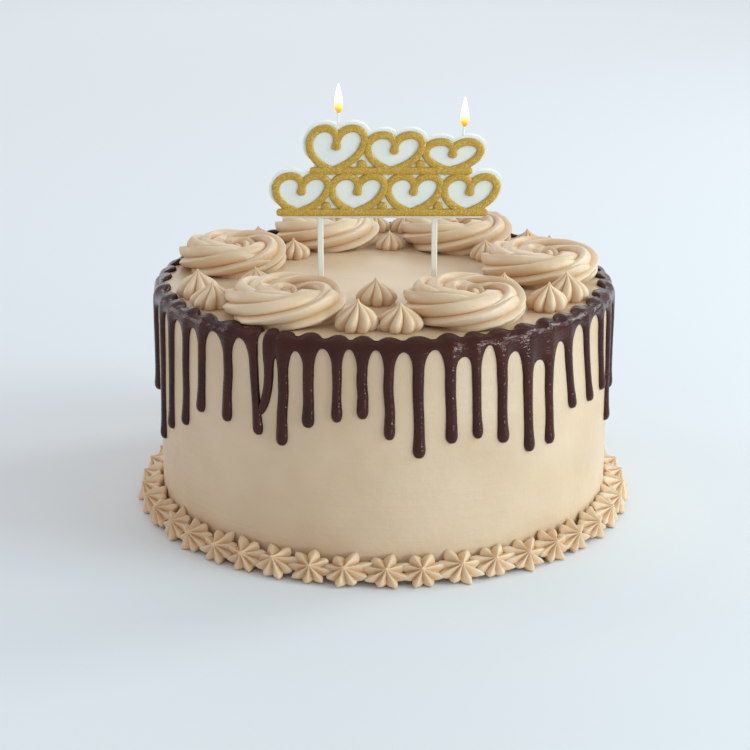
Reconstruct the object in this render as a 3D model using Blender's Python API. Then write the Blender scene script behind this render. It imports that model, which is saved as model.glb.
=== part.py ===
"""A round drip cake: smooth buttercream sides, a poured chocolate collar with drips down the side,
six piped rosettes and eighteen small piped drop stars on top, a border of piped stars round the foot,
and a candle of white wax on two sticks, with raised gold hearts in two tiers.

Metres, +Z up. The origin is the middle of the cake's flat base. Angles round the cake are in degrees
from the front (-Y), positive towards the right (+X).
"""

import math
import random

import bmesh
import bpy
from mathutils import Matrix, Vector

MM = 0.001

# The cake
CAKE_RADIUS = 115 * MM
CAKE_HEIGHT = 114.5 * MM
RIM_ROUNDING = 4 * MM
CAKE_SEGMENTS = 54
GAP = 0.3 * MM  # between pieces that touch

# The chocolate collar and its drips
COLLAR_THICKNESS = 2.0 * MM
COLLAR_LOBE_RADIUS = 108.2 * MM  # how far in each pour reaches on the top
COLLAR_NOTCH_RADIUS = 110.6 * MM  # between two pours
DRIP_THICKNESS = 2.5 * MM
DRIP_WIDTH = 5.2 * MM
DRIP_PITCH = 7.2  # degrees, where no drip is listed
# Each listed drip, left to right: angle at the tip, height of the tip in mm, angle at the top, and how
# far below the cake's top the arch after it starts, in mm
LISTED_DRIPS = (
    (-82.6, 60, -78.5, 6), (-72.3, 41, -69.4, 5), (-64.7, 51.5, -62.6, 5), (-56.2, 58.7, -54.6, 5),
    (-49.1, 69.4, -47.9, 3), (-39.8, 69.4, -39.0, 3), (-30.5, 66.7, -31.4, 0), (-27.6, 87, -27.6, 10.3),
    (-24.3, 63.5, -23.7, 5.2), (-17.7, 73.9, -17.4, 2.6), (-10.9, 77.7, -10.8, 2.2), (-5.0, 79.9, -5.0, 2.2),
    (1.1, 69.9, 1.0, 3.4), (7.9, 60.6, 7.6, 2.8), (15.5, 66.7, 15.0, 7.7), (21.9, 67.6, 21.2, 3.0),
    (28.6, 63.4, 27.8, 8.4), (36.2, 56, 35.1, 15.7), (42.7, 56.8, 41.9, 9.2), (51.2, 70.2, 48.6, 3.9),
    (59.8, 68.8, 56.4, 3.4), (68.2, 69.4, 65.5, 5), (75.5, 48.5, 73.2, 6), (84.0, 60, 82.4, 5),
)
BREAK_AFTER_DRIP = 6  # the collar is open between this listed drip and the next
OTHER_TIPS = (44, 84, 66)  # lowest, highest and usual height of the other tips, in mm
OTHER_ARCHES = (3, 8)  # least and greatest depth of the other arches, in mm

# The piped rosettes: name, angle, distance from the middle in mm, largest radius in mm
ROSETTES = (
    ("rosette_front_left", -34.5, 81.3, 28.4),
    ("rosette_front_right", 29.6, 78.2, 28.6),
    ("rosette_right", 92.1, 80.3, 30.0),
    ("rosette_back_right", 150.8, 81.5, 28.4),
    ("rosette_back_left", -157.5, 80.6, 28.6),
    ("rosette_left", -105.1, 80.4, 28.6),
)
ROSETTE_HEIGHT = 14 * MM
ROSETTE_ARMS = 6
ROSETTE_SWEEP = 250  # degrees that a ridge turns on its way to the middle

# The piped drop stars, a pair near the rim and one nearer the middle between two rosettes: angle,
# distance from the middle in mm, largest radius in mm
OUTER_STARS = (
    (-8.2, 90.7, 9.9), (4.7, 90.6, 9.9), (53.7, 96.3, 9.2), (65.9, 98.0, 9.6), (116.4, 97.5, 8.2),
    (126.6, 97.5, 8.2), (173.1, 99.6, 7.5), (-177.9, 99.7, 7.5), (-136.3, 97.6, 7.6), (-126.7, 97.6, 7.6),
    (-69.6, 97.3, 9.9), (-57.5, 97.8, 9.9),
)
INNER_STARS = (
    (-4.4, 47.0, 9.2), (61.6, 66.2, 8.2), (124.4, 65.5, 7.8), (176.6, 60.1, 7.5), (-130.9, 62.0, 7.7),
    (-71.2, 66.8, 8.6),
)
DROP_SHAPE = 1.13  # height over radius
DROP_LOBES = 7

# The star border
STAR_COUNT = 44
STAR_RADIUS = 9.4 * MM
STAR_LOBES = 8
STAR_TILT = 45  # degrees that each star leans outwards

# The candle: white wax with raised gold hearts, in two tiers
CANDLE_Y = -40 * MM
CANDLE_THICKNESS = 5 * MM
CANDLE_FOOT = 154.9 * MM  # height of the lower tier's underside
SCROLL_WIDTH = 3.6 * MM
SCROLL_RELIEF = 1.3 * MM
SCROLL_MARGIN = 1.4 * MM  # white wax shown beyond the gold
SCROLL_SLANT = 0.16  # sideways shift over height
# Each tier: left end, right end, foot above the candle's foot, height at each end, hearts
LOWER_TIER = (-54.5 * MM, 52.5 * MM, 0.0, 24.2 * MM, 23.6 * MM, 4)
UPPER_TIER = (-38.5 * MM, 45.0 * MM, 20.2 * MM, 28.3 * MM, 18.6 * MM, 3)
HEART_OVERLAP = 0.9 * MM  # how far each heart reaches towards the next
BEAD_RADIUS = 2.3 * MM
STICK_X = (-30.6 * MM, 24.2 * MM)
STICK_WIDTH = 2.8 * MM
STICK_DEPTH = 2.0 * MM
STICK_IN_CAKE = 20 * MM
STICK_IN_WAX = 6 * MM
WICKS = ((-21.8 * MM, 44.0 * MM), (37.6 * MM, 39.6 * MM))  # place, and height of the wax above the foot
WICK_RADIUS = 0.6 * MM
WICK_SHOWN = 5 * MM
WICK_IN_WAX = 3 * MM


def finish_material(name, colour, roughness, metallic=0.0):
    material = bpy.data.materials.new(name)
    material.use_nodes = True
    shader = material.node_tree.nodes["Principled BSDF"]
    shader.inputs["Base Color"].default_value = (*colour, 1)
    shader.inputs["Roughness"].default_value = roughness
    shader.inputs["Metallic"].default_value = metallic
    material.diffuse_color = (*colour, 1)
    return material


def add_object(name, bm, material, smooth_angle=40):
    bmesh.ops.recalc_face_normals(bm, faces=bm.faces)
    mesh = bpy.data.meshes.new(name)
    bm.to_mesh(mesh)
    bm.free()
    mesh.shade_smooth()
    mesh.set_sharp_from_angle(angle=math.radians(smooth_angle))
    mesh.materials.append(material)
    obj = bpy.data.objects.new(name, mesh)
    bpy.context.scene.collection.objects.link(obj)
    return obj


def on_cake(angle, distance, height):
    """The point at this angle round the cake."""
    a = math.radians(angle)
    return Vector((distance * math.sin(a), -distance * math.cos(a), height))


def new_verts(grown):
    return [g for g in grown["geom"] if isinstance(g, bmesh.types.BMVert)]


def ringed_solid(rings, foot, tip):
    """A closed solid drawn up through rings of points from a foot point to a tip point."""
    bm = bmesh.new()
    column = bm.verts.layers.int.new("column")
    count = len(rings[0])
    verts = bmesh.ops.create_circle(bm, segments=count, radius=1)["verts"]
    for i, vert in enumerate(verts):
        vert[column] = i
        vert.co = rings[0][i]
    rim = list(bm.edges)
    centre = bm.verts.new(foot)
    for edge in rim:
        bm.faces.new((edge.verts[0], edge.verts[1], centre))
    for ring in rings[1:]:
        grown = bmesh.ops.extrude_edge_only(bm, edges=rim)
        verts = new_verts(grown)
        for vert in verts:
            vert.co = ring[vert[column]]
        fresh = set(verts)
        rim = [g for g in grown["geom"] if isinstance(g, bmesh.types.BMEdge) and set(g.verts) <= fresh]
    grown = bmesh.ops.extrude_edge_only(bm, edges=rim)
    verts = new_verts(grown)
    bmesh.ops.pointmerge(bm, verts=verts, merge_co=tip)
    return bm


def cut_with(obj, cutter, operation="DIFFERENCE"):
    modifier = obj.modifiers.new("cut", "BOOLEAN")
    modifier.object = cutter
    modifier.operation = operation
    modifier.solver = "EXACT"


def union_of(name, pieces, material):
    """One solid made of all the pieces, which are then removed."""
    others = bpy.data.collections.new(name + "_pieces")
    bpy.context.scene.collection.children.link(others)
    for piece in pieces[1:]:
        bpy.context.scene.collection.objects.unlink(piece)
        others.objects.link(piece)
    modifier = pieces[0].modifiers.new("join", "BOOLEAN")
    modifier.operand_type = "COLLECTION"
    modifier.collection = others
    modifier.operation = "UNION"
    modifier.solver = "EXACT"
    graph = bpy.context.evaluated_depsgraph_get()
    mesh = bpy.data.meshes.new_from_object(pieces[0].evaluated_get(graph))
    mesh.name = name
    mesh.materials.clear()
    mesh.materials.append(material)
    for piece in pieces:
        bpy.data.objects.remove(piece)
    bpy.data.collections.remove(others)
    obj = bpy.data.objects.new(name, mesh)
    bpy.context.scene.collection.objects.link(obj)
    return obj


def box_at(name, low, high, material, bevel=0.0):
    """A box between two corners, with its upright edges rounded."""
    bm = bmesh.new()
    bmesh.ops.create_cube(bm, size=1)
    low, high = Vector(low), Vector(high)
    bmesh.ops.scale(bm, vec=high - low, verts=bm.verts)
    bmesh.ops.translate(bm, vec=(low + high) / 2, verts=bm.verts)
    if bevel:
        upright = [e for e in bm.edges if abs(e.verts[0].co.z - e.verts[1].co.z) > 1e-6]
        bmesh.ops.bevel(
            bm, geom=upright, offset=bevel, segments=1, profile=0.5, affect="EDGES", material=-1
        )
    return add_object(name, bm, material)


def cutter_box(name, low, high):
    obj = box_at(name, low, high, None)
    obj.hide_render = True
    obj.display_type = "WIRE"
    return obj


def frosted_cake(material, stick_sockets):
    """The uncut cake under its smooth icing: a profile turned round the axis."""
    bm = bmesh.new()
    profile = [(0, 0), (CAKE_RADIUS, 0)]
    for step in range(3):
        a = math.radians(45 * step)
        profile.append(
            (
                CAKE_RADIUS - RIM_ROUNDING * (1 - math.cos(a)),
                CAKE_HEIGHT - RIM_ROUNDING * (1 - math.sin(a)),
            )
        )
    profile.append((0, CAKE_HEIGHT))
    verts = [bm.verts.new((r, 0, z)) for r, z in profile]
    edges = [bm.edges.new(pair) for pair in zip(verts, verts[1:])]
    bmesh.ops.spin(
        bm, geom=verts + edges, axis=(0, 0, 1), cent=(0, 0, 0), angle=math.tau,
        steps=CAKE_SEGMENTS, use_merge=True,
    )
    bmesh.ops.remove_doubles(bm, verts=bm.verts, dist=0.01 * MM)
    cake = add_object("cake", bm, material)
    for socket in stick_sockets:
        cut_with(cake, socket)
    return cake


def all_drips(rng):
    """Angle and height of the tip, angle of the top, depth of the next arch, and width of every drip."""
    drips = []
    for tip_angle, tip, top_angle, arch in LISTED_DRIPS:
        drips.append((tip_angle, tip * MM, top_angle, arch * MM, DRIP_WIDTH * rng.uniform(0.92, 1.12)))
    start = LISTED_DRIPS[-1][0]
    rest = 360 + LISTED_DRIPS[0][0] - start
    count = round(rest / DRIP_PITCH)
    for i in range(1, count):
        angle = start + rest * (i + rng.uniform(-0.16, 0.16)) / count
        tip = rng.triangular(*OTHER_TIPS) * MM
        lean = rng.uniform(-0.6, 0.6)
        arch = rng.uniform(*OTHER_ARCHES) * MM
        drips.append((angle, tip, angle - lean, arch, DRIP_WIDTH * rng.uniform(0.88, 1.12)))
    return drips


def collar_profile(foot_height, lobe_radius):
    """The collar's section at one column, from the foot on the side, over the rim, to the foot on top."""
    skin = CAKE_RADIUS + GAP
    top = CAKE_HEIGHT + GAP
    thick = COLLAR_THICKNESS
    return (
        (skin, foot_height),
        (skin, CAKE_HEIGHT - RIM_ROUNDING * 0.5),
        (CAKE_RADIUS - RIM_ROUNDING * 0.5, top),
        (lobe_radius, top),
        (lobe_radius + 1.3 * MM, top + thick * 0.85),
        (CAKE_RADIUS - 0.5 * MM, top + thick * 0.75),
        (skin + thick, foot_height + 0.9 * MM),
    )


def collar_columns(drips, rng):
    """Angle, foot height and inner radius of the collar's columns, four to a drip."""
    columns = []
    for i, (tip_angle, tip, top_angle, arch, width) in enumerate(drips):
        following = drips[(i + 1) % len(drips)]
        next_top = following[2] + (360 if following is drips[0] else 0)
        half = math.degrees(width / 2 / CAKE_RADIUS)
        next_half = math.degrees(following[4] / 2 / CAKE_RADIUS)
        room = next_top - next_half - top_angle - half
        root_depth = max(rng.uniform(9.0, 11.0) * MM, arch + 4 * MM, drips[i - 1][3] + 4 * MM)
        root = CAKE_HEIGHT - root_depth
        lobe = COLLAR_LOBE_RADIUS + rng.uniform(-0.3, 0.8) * MM
        notch = COLLAR_NOTCH_RADIUS + rng.uniform(-0.4, 0.7) * MM
        columns.append((top_angle - half, root, lobe))
        columns.append((top_angle + half, root, lobe))
        if i == BREAK_AFTER_DRIP:
            columns.append((top_angle + half + 0.06 * room, root, lobe))
            columns.append((top_angle + half + 0.94 * room, root, lobe))
        else:
            columns.append((top_angle + half + 0.25 * room, CAKE_HEIGHT - arch, notch))
            columns.append((top_angle + half + 0.75 * room, CAKE_HEIGHT - arch, notch))
    return columns


def chocolate_drips(material):
    """A ring over the rim, four columns to a drip, whose lower faces are drawn down into the drips."""
    rng = random.Random(11)
    drips = all_drips(rng)
    columns = collar_columns(drips, rng)
    bm = bmesh.new()
    part_of = bm.verts.layers.int.new("profile")
    profile = collar_profile(CAKE_HEIGHT * 0.9, COLLAR_LOBE_RADIUS)
    verts = [bm.verts.new((r, 0, z)) for r, z in profile]
    for i, vert in enumerate(verts):
        vert[part_of] = i
    edges = [bm.edges.new(pair) for pair in zip(verts, verts[1:] + verts[:1])]
    bmesh.ops.spin(
        bm, geom=verts + edges, axis=(0, 0, 1), cent=(0, 0, 0), angle=math.tau,
        steps=len(columns), use_merge=True,
    )
    column_of = bm.verts.layers.int.new("column")
    for vert in bm.verts:
        turn = math.atan2(vert.co.y, vert.co.x) / math.tau * len(columns)
        vert[column_of] = round(turn) % len(columns)
    for vert in bm.verts:
        angle, foot_height, lobe = columns[vert[column_of]]
        r, z = collar_profile(foot_height, lobe)[vert[part_of]]
        vert.co = on_cake(angle, r, z)

    open_collar(bm, column_of, 4 * BREAK_AFTER_DRIP + 2)
    roots = {}
    foot, brow = 0, len(profile) - 1
    for face in bm.faces:
        kinds = {vert[part_of] for vert in face.verts}
        places = sorted({vert[column_of] for vert in face.verts})
        if kinds == {foot, brow} and len(places) == 2 and places[0] % 4 == 0 and places[1] == places[0] + 1:
            roots[places[0] // 4] = face
    for i, drip in enumerate(drips):
        draw_drip(bm, roots[i], (part_of, brow, column_of), drip)
    return add_object("chocolate_drips", bm, material, 70)


def open_collar(bm, column_of, column):
    """Takes out the stretch between this column and the next, and closes both ends."""
    pair = {column, column + 1}
    faces = [f for f in bm.faces if {v[column_of] for v in f.verts} == pair]
    bmesh.ops.delete(bm, geom=faces, context="FACES_ONLY")
    loose = [e for e in bm.edges if not e.link_faces]
    bmesh.ops.delete(bm, geom=loose, context="EDGES")
    for side in pair:
        ring = [e for e in bm.edges if len(e.link_faces) == 1 and {v[column_of] for v in e.verts} == {side}]
        bmesh.ops.holes_fill(bm, edges=ring)


def draw_drip(bm, face, layers, drip):
    """Draws one face of the collar's underside down the cake's side: neck, run, bulb and tip."""
    part_of, brow, column_of = layers
    tip_angle, tip, top_angle, arch, width = drip
    root = face.calc_center_median().z
    skin = CAKE_RADIUS + GAP
    length = root - tip
    # share of the length, share of the width, share of the thickness
    sections = (
        (0.30, 0.86, 0.92),
        (1 - 8.0 * MM / length, 0.84, 0.92),
        (1 - 3.0 * MM / length, 1.04, 1.16),
        (1.0, 0.50, 0.62),
    )
    for share, wide, thick in sections:
        grown = bmesh.ops.extrude_face_region(bm, geom=[face])
        bmesh.ops.delete(bm, geom=[face], context="FACES_ONLY")
        face = next(g for g in grown["geom"] if isinstance(g, bmesh.types.BMFace))
        for vert in face.verts:
            outer = vert[part_of] == brow
            side = 1 if vert[column_of] % 4 == 1 else -1
            half = math.degrees(width * wide / 2 / CAKE_RADIUS) * (0.6 if outer else 1)
            radius = skin + (DRIP_THICKNESS * thick if outer else 0)
            middle = top_angle + (tip_angle - top_angle) * share
            vert.co = on_cake(middle + side * half, radius, root - share * length)


def rosette(name, angle, distance, radius, material, rng):
    """A domed swirl whose ridges sweep in from the rim to the middle."""
    sides = ROSETTE_ARMS * 4
    # share of the radius, share of the height, depth of the ridges in mm
    levels = ((0.86, 0.0, 0.0), (1.0, 0.36, 0.4), (0.88, 0.74, 0.9), (0.62, 0.92, 1.3), (0.32, 0.88, 1.2))
    start = rng.uniform(0, 360)
    rings = []
    for share, high, ridge in levels:
        twist = start + ROSETTE_SWEEP * (1 - share) ** 0.9
        ring = []
        for i in range(sides):
            a = math.radians(360 * i / sides + twist)
            wave = math.cos(math.tau * i * ROSETTE_ARMS / sides)
            r = radius * share + ridge * MM * wave * 0.6
            z = ROSETTE_HEIGHT * high + ridge * MM * wave
            ring.append(Vector((r * math.cos(a), r * math.sin(a), z)))
        rings.append(ring)
    bm = ringed_solid(rings, Vector((0, 0, 0)), Vector((0, 0, ROSETTE_HEIGHT * 0.97)))
    obj = add_object(name, bm, material)
    obj.location = on_cake(angle, distance, CAKE_HEIGHT + GAP)
    return obj


def drop_star(name, angle, distance, radius, material, rng):
    """A small piped peak with lobes that lean into its point."""
    height = radius * DROP_SHAPE * rng.uniform(0.95, 1.05)
    twist = rng.uniform(10, 22)
    levels = ((0.74, 0.0, 0.10), (0.92, 0.26, 0.11), (0.58, 0.64, 0.13))
    rings = []
    for step, (share, high, lobe) in enumerate(levels):
        ring = []
        for i in range(DROP_LOBES * 2):
            a = math.radians(180 * i / DROP_LOBES + twist * step)
            r = radius * share * (1 + lobe * (1 if i % 2 else -1))
            ring.append(Vector((r * math.cos(a), r * math.sin(a), height * high)))
        rings.append(ring)
    bm = ringed_solid(rings, Vector((0, 0, 0)), Vector((0, 0, height)))
    obj = add_object(name, bm, material)
    obj.location = on_cake(angle, distance, CAKE_HEIGHT + GAP)
    obj.rotation_euler.z = rng.uniform(0, math.tau)
    return obj


def border_star(angle, lift, material, rng):
    """One star of the border, which leans out from the cake's foot, with lobes towards its neighbours."""
    size = STAR_RADIUS * rng.uniform(0.98, 1.02)
    levels = ((0.94, 0.0, 0.10), (0.58, 3.0, 0.16))
    rings = []
    for share, high, lobe in levels:
        ring = []
        for i in range(STAR_LOBES * 2):
            a = math.radians(180 * (i + 1) / STAR_LOBES)
            r = size * share * (1 + lobe * (1 if i % 2 else -1))
            ring.append(Vector((r * math.cos(a), r * math.sin(a), high * MM)))
        rings.append(ring)
    bm = ringed_solid(rings, Vector((0, 0, -6.5 * MM)), Vector((0, 0, 4.4 * MM)))
    reach = GAP + 0.2 * MM + STAR_RADIUS * math.cos(math.radians(STAR_TILT)) * 1.02
    turn = (
        Matrix.Rotation(math.radians(angle), 4, "Z")
        @ Matrix.Translation((0, -CAKE_RADIUS - reach, reach))
        @ Matrix.Rotation(math.radians(STAR_TILT + rng.uniform(-3, 3)), 4, "X")
        @ Matrix.Translation((0, 0, lift))
        @ Matrix.Rotation(math.radians(rng.uniform(-5, 5)), 4, "Z")
    )
    bmesh.ops.transform(bm, matrix=turn, verts=bm.verts)
    return add_object("star", bm, material)


def star_border(material):
    rng = random.Random(5)
    stars = []
    for i in range(STAR_COUNT):
        angle = 360 * (i + rng.uniform(-0.03, 0.03)) / STAR_COUNT
        stars.append(border_star(angle, (i % 2) * 0.6 * MM, material, rng))
    return union_of("star_border", stars, material)


def tier_hearts(tier):
    """Middle, foot, top and half width of each heart of one tier, along the gold's centre line."""
    left, right, foot, high_left, high_right, count = tier
    inset = SCROLL_MARGIN + SCROLL_WIDTH / 2
    pitch = (right - left) / count
    hearts = []
    for i in range(count):
        t = (i + 0.5) / count
        high = high_left + (high_right - high_left) * t
        hearts.append((left + (right - left) * t, foot + inset, foot + high - inset, pitch / 2 - HEART_OVERLAP))
    return hearts


def slanted(x, z, foot):
    return (x + SCROLL_SLANT * (z - foot), z)


def heart_lobe(heart, side):
    """Centre, half width and half height of the round upper part of one half of a heart."""
    x, foot, top, wide = heart
    high = (top - foot) * 0.32
    centre = slanted(x + side * wide / 2, top - high, foot)
    return centre[0], centre[1], wide / 2, high


def wax_disc(x, z, across, high, thickness, material):
    """One rounded, slanted lobe of the white wax, upright in the candle's plane."""
    bm = bmesh.new()
    bmesh.ops.create_cone(
        bm, cap_ends=True, segments=12, radius1=1, radius2=1, depth=thickness
    )
    bmesh.ops.scale(bm, vec=(across, high, 1), verts=bm.verts)
    for vert in bm.verts:
        vert.co.x += SCROLL_SLANT * vert.co.y
    turn = Matrix.Translation((x, CANDLE_Y, CANDLE_FOOT + z)) @ Matrix.Rotation(math.pi / 2, 4, "X")
    bmesh.ops.transform(bm, matrix=turn, verts=bm.verts)
    return add_object("lobe", bm, material)


def candle_wax(material, sockets):
    """The white backing: a rounded lobe behind each half of a heart, and a bar along the foot of each tier."""
    pieces = []
    inset = SCROLL_MARGIN + SCROLL_WIDTH / 2
    for depth, tier in enumerate((LOWER_TIER, UPPER_TIER)):
        left, right, foot = tier[:3]
        for i, heart in enumerate(tier_hearts(tier)):
            for side in (-1, 1):
                x, z, across, high = heart_lobe(heart, side)
                thick = CANDLE_THICKNESS - 0.06 * MM * (2 * (i % 2) + (side + 1) / 2 + 4 * depth)
                pieces.append(wax_disc(x, z, across + inset, high + inset, thick, material))
        half = CANDLE_THICKNESS * 0.45
        bar_top = foot + (tier_hearts(tier)[0][2] - foot) * 0.55
        pieces.append(
            box_at(
                "bar",
                (left + 5 * MM, CANDLE_Y - half, CANDLE_FOOT + foot),
                (right - 5 * MM, CANDLE_Y + half, CANDLE_FOOT + bar_top),
                material,
                bevel=1.5 * MM,
            )
        )
    wax = union_of("candle_wax", pieces, material)
    for socket in sockets:
        cut_with(wax, socket)
    return wax


def ribbon(name, points, width, low, high, material):
    """A flat strip of this width along points of the candle's front, between two depths in front of it."""
    bm = bmesh.new()
    edges = []
    for i, point in enumerate(points):
        before, after = points[max(0, i - 1)], points[min(len(points) - 1, i + 1)]
        along = (Vector(after) - Vector(before)).normalized()
        across = Vector((-along.y, along.x)) * width / 2
        ends = []
        for side in (-1, 1):
            spot = Vector(point) + across * side
            ends.append(bm.verts.new((spot.x, low, CANDLE_FOOT + spot.y)))
        edges.append(bm.edges.new(ends))
    for first, second in zip(edges, edges[1:]):
        bmesh.ops.bridge_loops(bm, edges=[first, second])
    grown = bmesh.ops.extrude_face_region(bm, geom=list(bm.faces), use_keep_orig=True)
    bmesh.ops.translate(bm, vec=(0, high - low, 0), verts=new_verts(grown))
    return add_object(name, bm, material)


def heart_points(heart, side):
    """One half of a heart: from its foot out and up, over the round top, and curled in at the middle."""
    x, foot, top, wide = heart
    middle_x, middle_z, across, high = heart_lobe(heart, side)
    tall = top - foot
    points = []
    for t in (0, 0.4, 0.75):
        out = 2 * t * (1 - t) * wide * 0.95 + t * t * wide
        rise = 2 * t * (1 - t) * tall * 0.24 + t * t * (middle_z - foot)
        points.append(slanted(x + side * out, foot + rise, foot))
    for turn in (0, 40, 80, 120, 160, 200):
        a = math.radians(turn)
        z = middle_z + high * math.sin(a)
        lean = SCROLL_SLANT * (z - middle_z)
        points.append((middle_x + side * across * math.cos(a) + lean, z))
    return points


def candle_gold(material):
    """The raised scrollwork on the wax: hearts on a ground line in each tier, with beads between them."""
    pieces = []
    front = CANDLE_Y - CANDLE_THICKNESS / 2 - GAP
    for depth, tier in enumerate((LOWER_TIER, UPPER_TIER)):
        hearts = tier_hearts(tier)
        ground = hearts[0][1]
        ends = [(hearts[0][0] - hearts[0][3] * 0.7, ground), (hearts[-1][0] + hearts[-1][3] * 0.7, ground)]
        raised = SCROLL_RELIEF - 0.05 * MM * depth
        pieces.append(ribbon("ground", ends, SCROLL_WIDTH, front, front - raised, material))
        for i, heart in enumerate(hearts):
            for side in (-1, 1):
                raised = SCROLL_RELIEF - 0.07 * MM * (1.5 + side / 2 + 2 * (i % 2) + 4 * depth)
                points = heart_points(heart, side)
                pieces.append(ribbon("heart", points, SCROLL_WIDTH, front, front - raised, material))
        for i in range(len(hearts) - 1):
            x = (hearts[i][0] + hearts[i + 1][0]) / 2
            pieces.append(gold_bead(x, ground + BEAD_RADIUS + 0.6 * MM, front, material))
    return union_of("candle_gold", pieces, material)


def gold_bead(x, z, front, material):
    """A small round dot of gold on the candle's front."""
    bm = bmesh.new()
    bmesh.ops.create_cone(
        bm, cap_ends=True, segments=8, radius1=BEAD_RADIUS, radius2=BEAD_RADIUS, depth=SCROLL_RELIEF * 0.8
    )
    place = Matrix.Translation((x, front - SCROLL_RELIEF * 0.4, CANDLE_FOOT + z))
    bmesh.ops.transform(bm, matrix=place @ Matrix.Rotation(math.pi / 2, 4, "X"), verts=bm.verts)
    return add_object("bead", bm, material)


def stick_box(x, extra):
    """Low and high corner of a stick, grown by some clearance."""
    low = (x - STICK_WIDTH / 2 - extra, CANDLE_Y - STICK_DEPTH / 2 - extra, CAKE_HEIGHT - STICK_IN_CAKE - extra)
    high = (x + STICK_WIDTH / 2 + extra, CANDLE_Y + STICK_DEPTH / 2 + extra, CANDLE_FOOT + STICK_IN_WAX + extra)
    return low, high


def wick_box(x, top, extra):
    """Low and high corner of a wick that leaves the wax at this height above the candle's foot."""
    top += CANDLE_FOOT
    wide = WICK_RADIUS + extra
    low = (x - wide, CANDLE_Y - wide, top - WICK_IN_WAX - extra)
    high = (x + wide, CANDLE_Y + wide, top + WICK_SHOWN + extra)
    return low, high


def main():
    for obj in list(bpy.data.objects):
        bpy.data.objects.remove(obj)
    cream = finish_material("buttercream", (0.66, 0.50, 0.34), 0.55)
    piping = finish_material("piped_buttercream", (0.70, 0.53, 0.35), 0.5)
    chocolate = finish_material("chocolate", (0.035, 0.012, 0.008), 0.15)
    wax = finish_material("white_wax", (0.88, 0.88, 0.82), 0.4)
    gold = finish_material("gold", (0.52, 0.34, 0.06), 0.35, 0.6)
    plastic = finish_material("white_plastic", (0.9, 0.89, 0.82), 0.4)

    sockets = [cutter_box(f"socket_{i}", *stick_box(x, GAP)) for i, x in enumerate(STICK_X)]
    wick_sockets = [
        cutter_box(f"wick_socket_{i}", *wick_box(*WICKS[i], GAP)) for i in range(2)
    ]
    frosted_cake(cream, sockets)
    chocolate_drips(chocolate)

    rng = random.Random(3)
    for name, angle, distance, radius in ROSETTES:
        piece = rosette(name, angle, distance * MM, radius * MM, piping, rng)
        if name == "rosette_front_left":
            cut_with(piece, sockets[0])
        if name == "rosette_front_right":
            cut_with(piece, sockets[1])
    for i, (angle, distance, radius) in enumerate(OUTER_STARS):
        drop_star(f"drop_star_outer_{i + 1}", angle, distance * MM, radius * MM, piping, rng)
    for i, (angle, distance, radius) in enumerate(INNER_STARS):
        drop_star(f"drop_star_inner_{i + 1}", angle, distance * MM, radius * MM, piping, rng)
    star_border(piping)

    candle_wax(wax, sockets + wick_sockets)
    candle_gold(gold)
    for side, x in zip(("left", "right"), STICK_X):
        box_at(f"stick_{side}", *stick_box(x, 0), plastic, bevel=0.4 * MM)
    for side, wick in zip(("left", "right"), WICKS):
        box_at(f"wick_{side}", *wick_box(*wick, 0), plastic, bevel=0.3 * MM)


main()
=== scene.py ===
import math
import random

import bmesh
import bpy
from mathutils import Matrix, Vector, noise


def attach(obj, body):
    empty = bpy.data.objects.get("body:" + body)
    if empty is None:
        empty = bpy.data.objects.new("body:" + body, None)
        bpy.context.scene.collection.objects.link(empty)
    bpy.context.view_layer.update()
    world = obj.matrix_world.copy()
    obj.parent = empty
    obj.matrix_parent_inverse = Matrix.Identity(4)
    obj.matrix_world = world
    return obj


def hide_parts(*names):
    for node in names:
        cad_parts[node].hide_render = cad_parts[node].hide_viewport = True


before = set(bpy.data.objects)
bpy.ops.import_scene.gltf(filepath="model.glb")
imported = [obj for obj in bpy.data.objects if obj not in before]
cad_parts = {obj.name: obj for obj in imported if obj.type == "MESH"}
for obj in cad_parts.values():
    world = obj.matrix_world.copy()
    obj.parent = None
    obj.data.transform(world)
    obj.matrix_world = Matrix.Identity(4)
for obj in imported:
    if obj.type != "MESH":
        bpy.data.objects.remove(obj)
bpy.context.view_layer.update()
print("frame loaded")

mm = 0.001
cake = {
    "radius": 115 * mm,
    "height": 114.5 * mm,
    "rim": 4 * mm,
    "foot": 0.8 * mm,
    "segments": 256,
    "levels": 30,
    "rings": 26,
    "waves": 0.35 * mm,  # hand smoothing, broad
    "waveScale": (28, 28, 22),
    "streaks": 0.05 * mm,  # hand smoothing, fine
    "streakScale": (45, 45, 420),
}


# helpers

def onCake(angle, distance, height):  # degrees from the front, towards the right
    a = math.radians(angle)
    return Vector((distance * math.sin(a), -distance * math.cos(a), height))


def newMaterial(name):
    material = bpy.data.materials.new(name)
    material.use_nodes = True
    nodes = material.node_tree.nodes
    return material, nodes, material.node_tree.links, nodes["Principled BSDF"]


def objectPattern(nodes, links, scale):  # object coordinates, stretched by scale
    coords = nodes.new("ShaderNodeTexCoord")
    mapping = nodes.new("ShaderNodeMapping")
    mapping.inputs["Scale"].default_value = scale
    links.new(coords.outputs["Object"], mapping.inputs["Vector"])
    return mapping.outputs["Vector"]


def noiseField(nodes, links, vector, scale, detail=3, rough=0.5):
    field = nodes.new("ShaderNodeTexNoise")
    field.inputs["Scale"].default_value = scale
    field.inputs["Detail"].default_value = detail
    field.inputs["Roughness"].default_value = rough
    links.new(vector, field.inputs["Vector"])
    return field.outputs["Fac"]


def colourRamp(nodes, links, value, stops):
    ramp = nodes.new("ShaderNodeValToRGB")
    while len(ramp.color_ramp.elements) < len(stops):
        ramp.color_ramp.elements.new(0.5)
    for element, (place, colour) in zip(ramp.color_ramp.elements, stops):
        element.position = place
        element.color = (*colour, 1)
    links.new(value, ramp.inputs["Fac"])
    return ramp.outputs["Color"]


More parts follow.
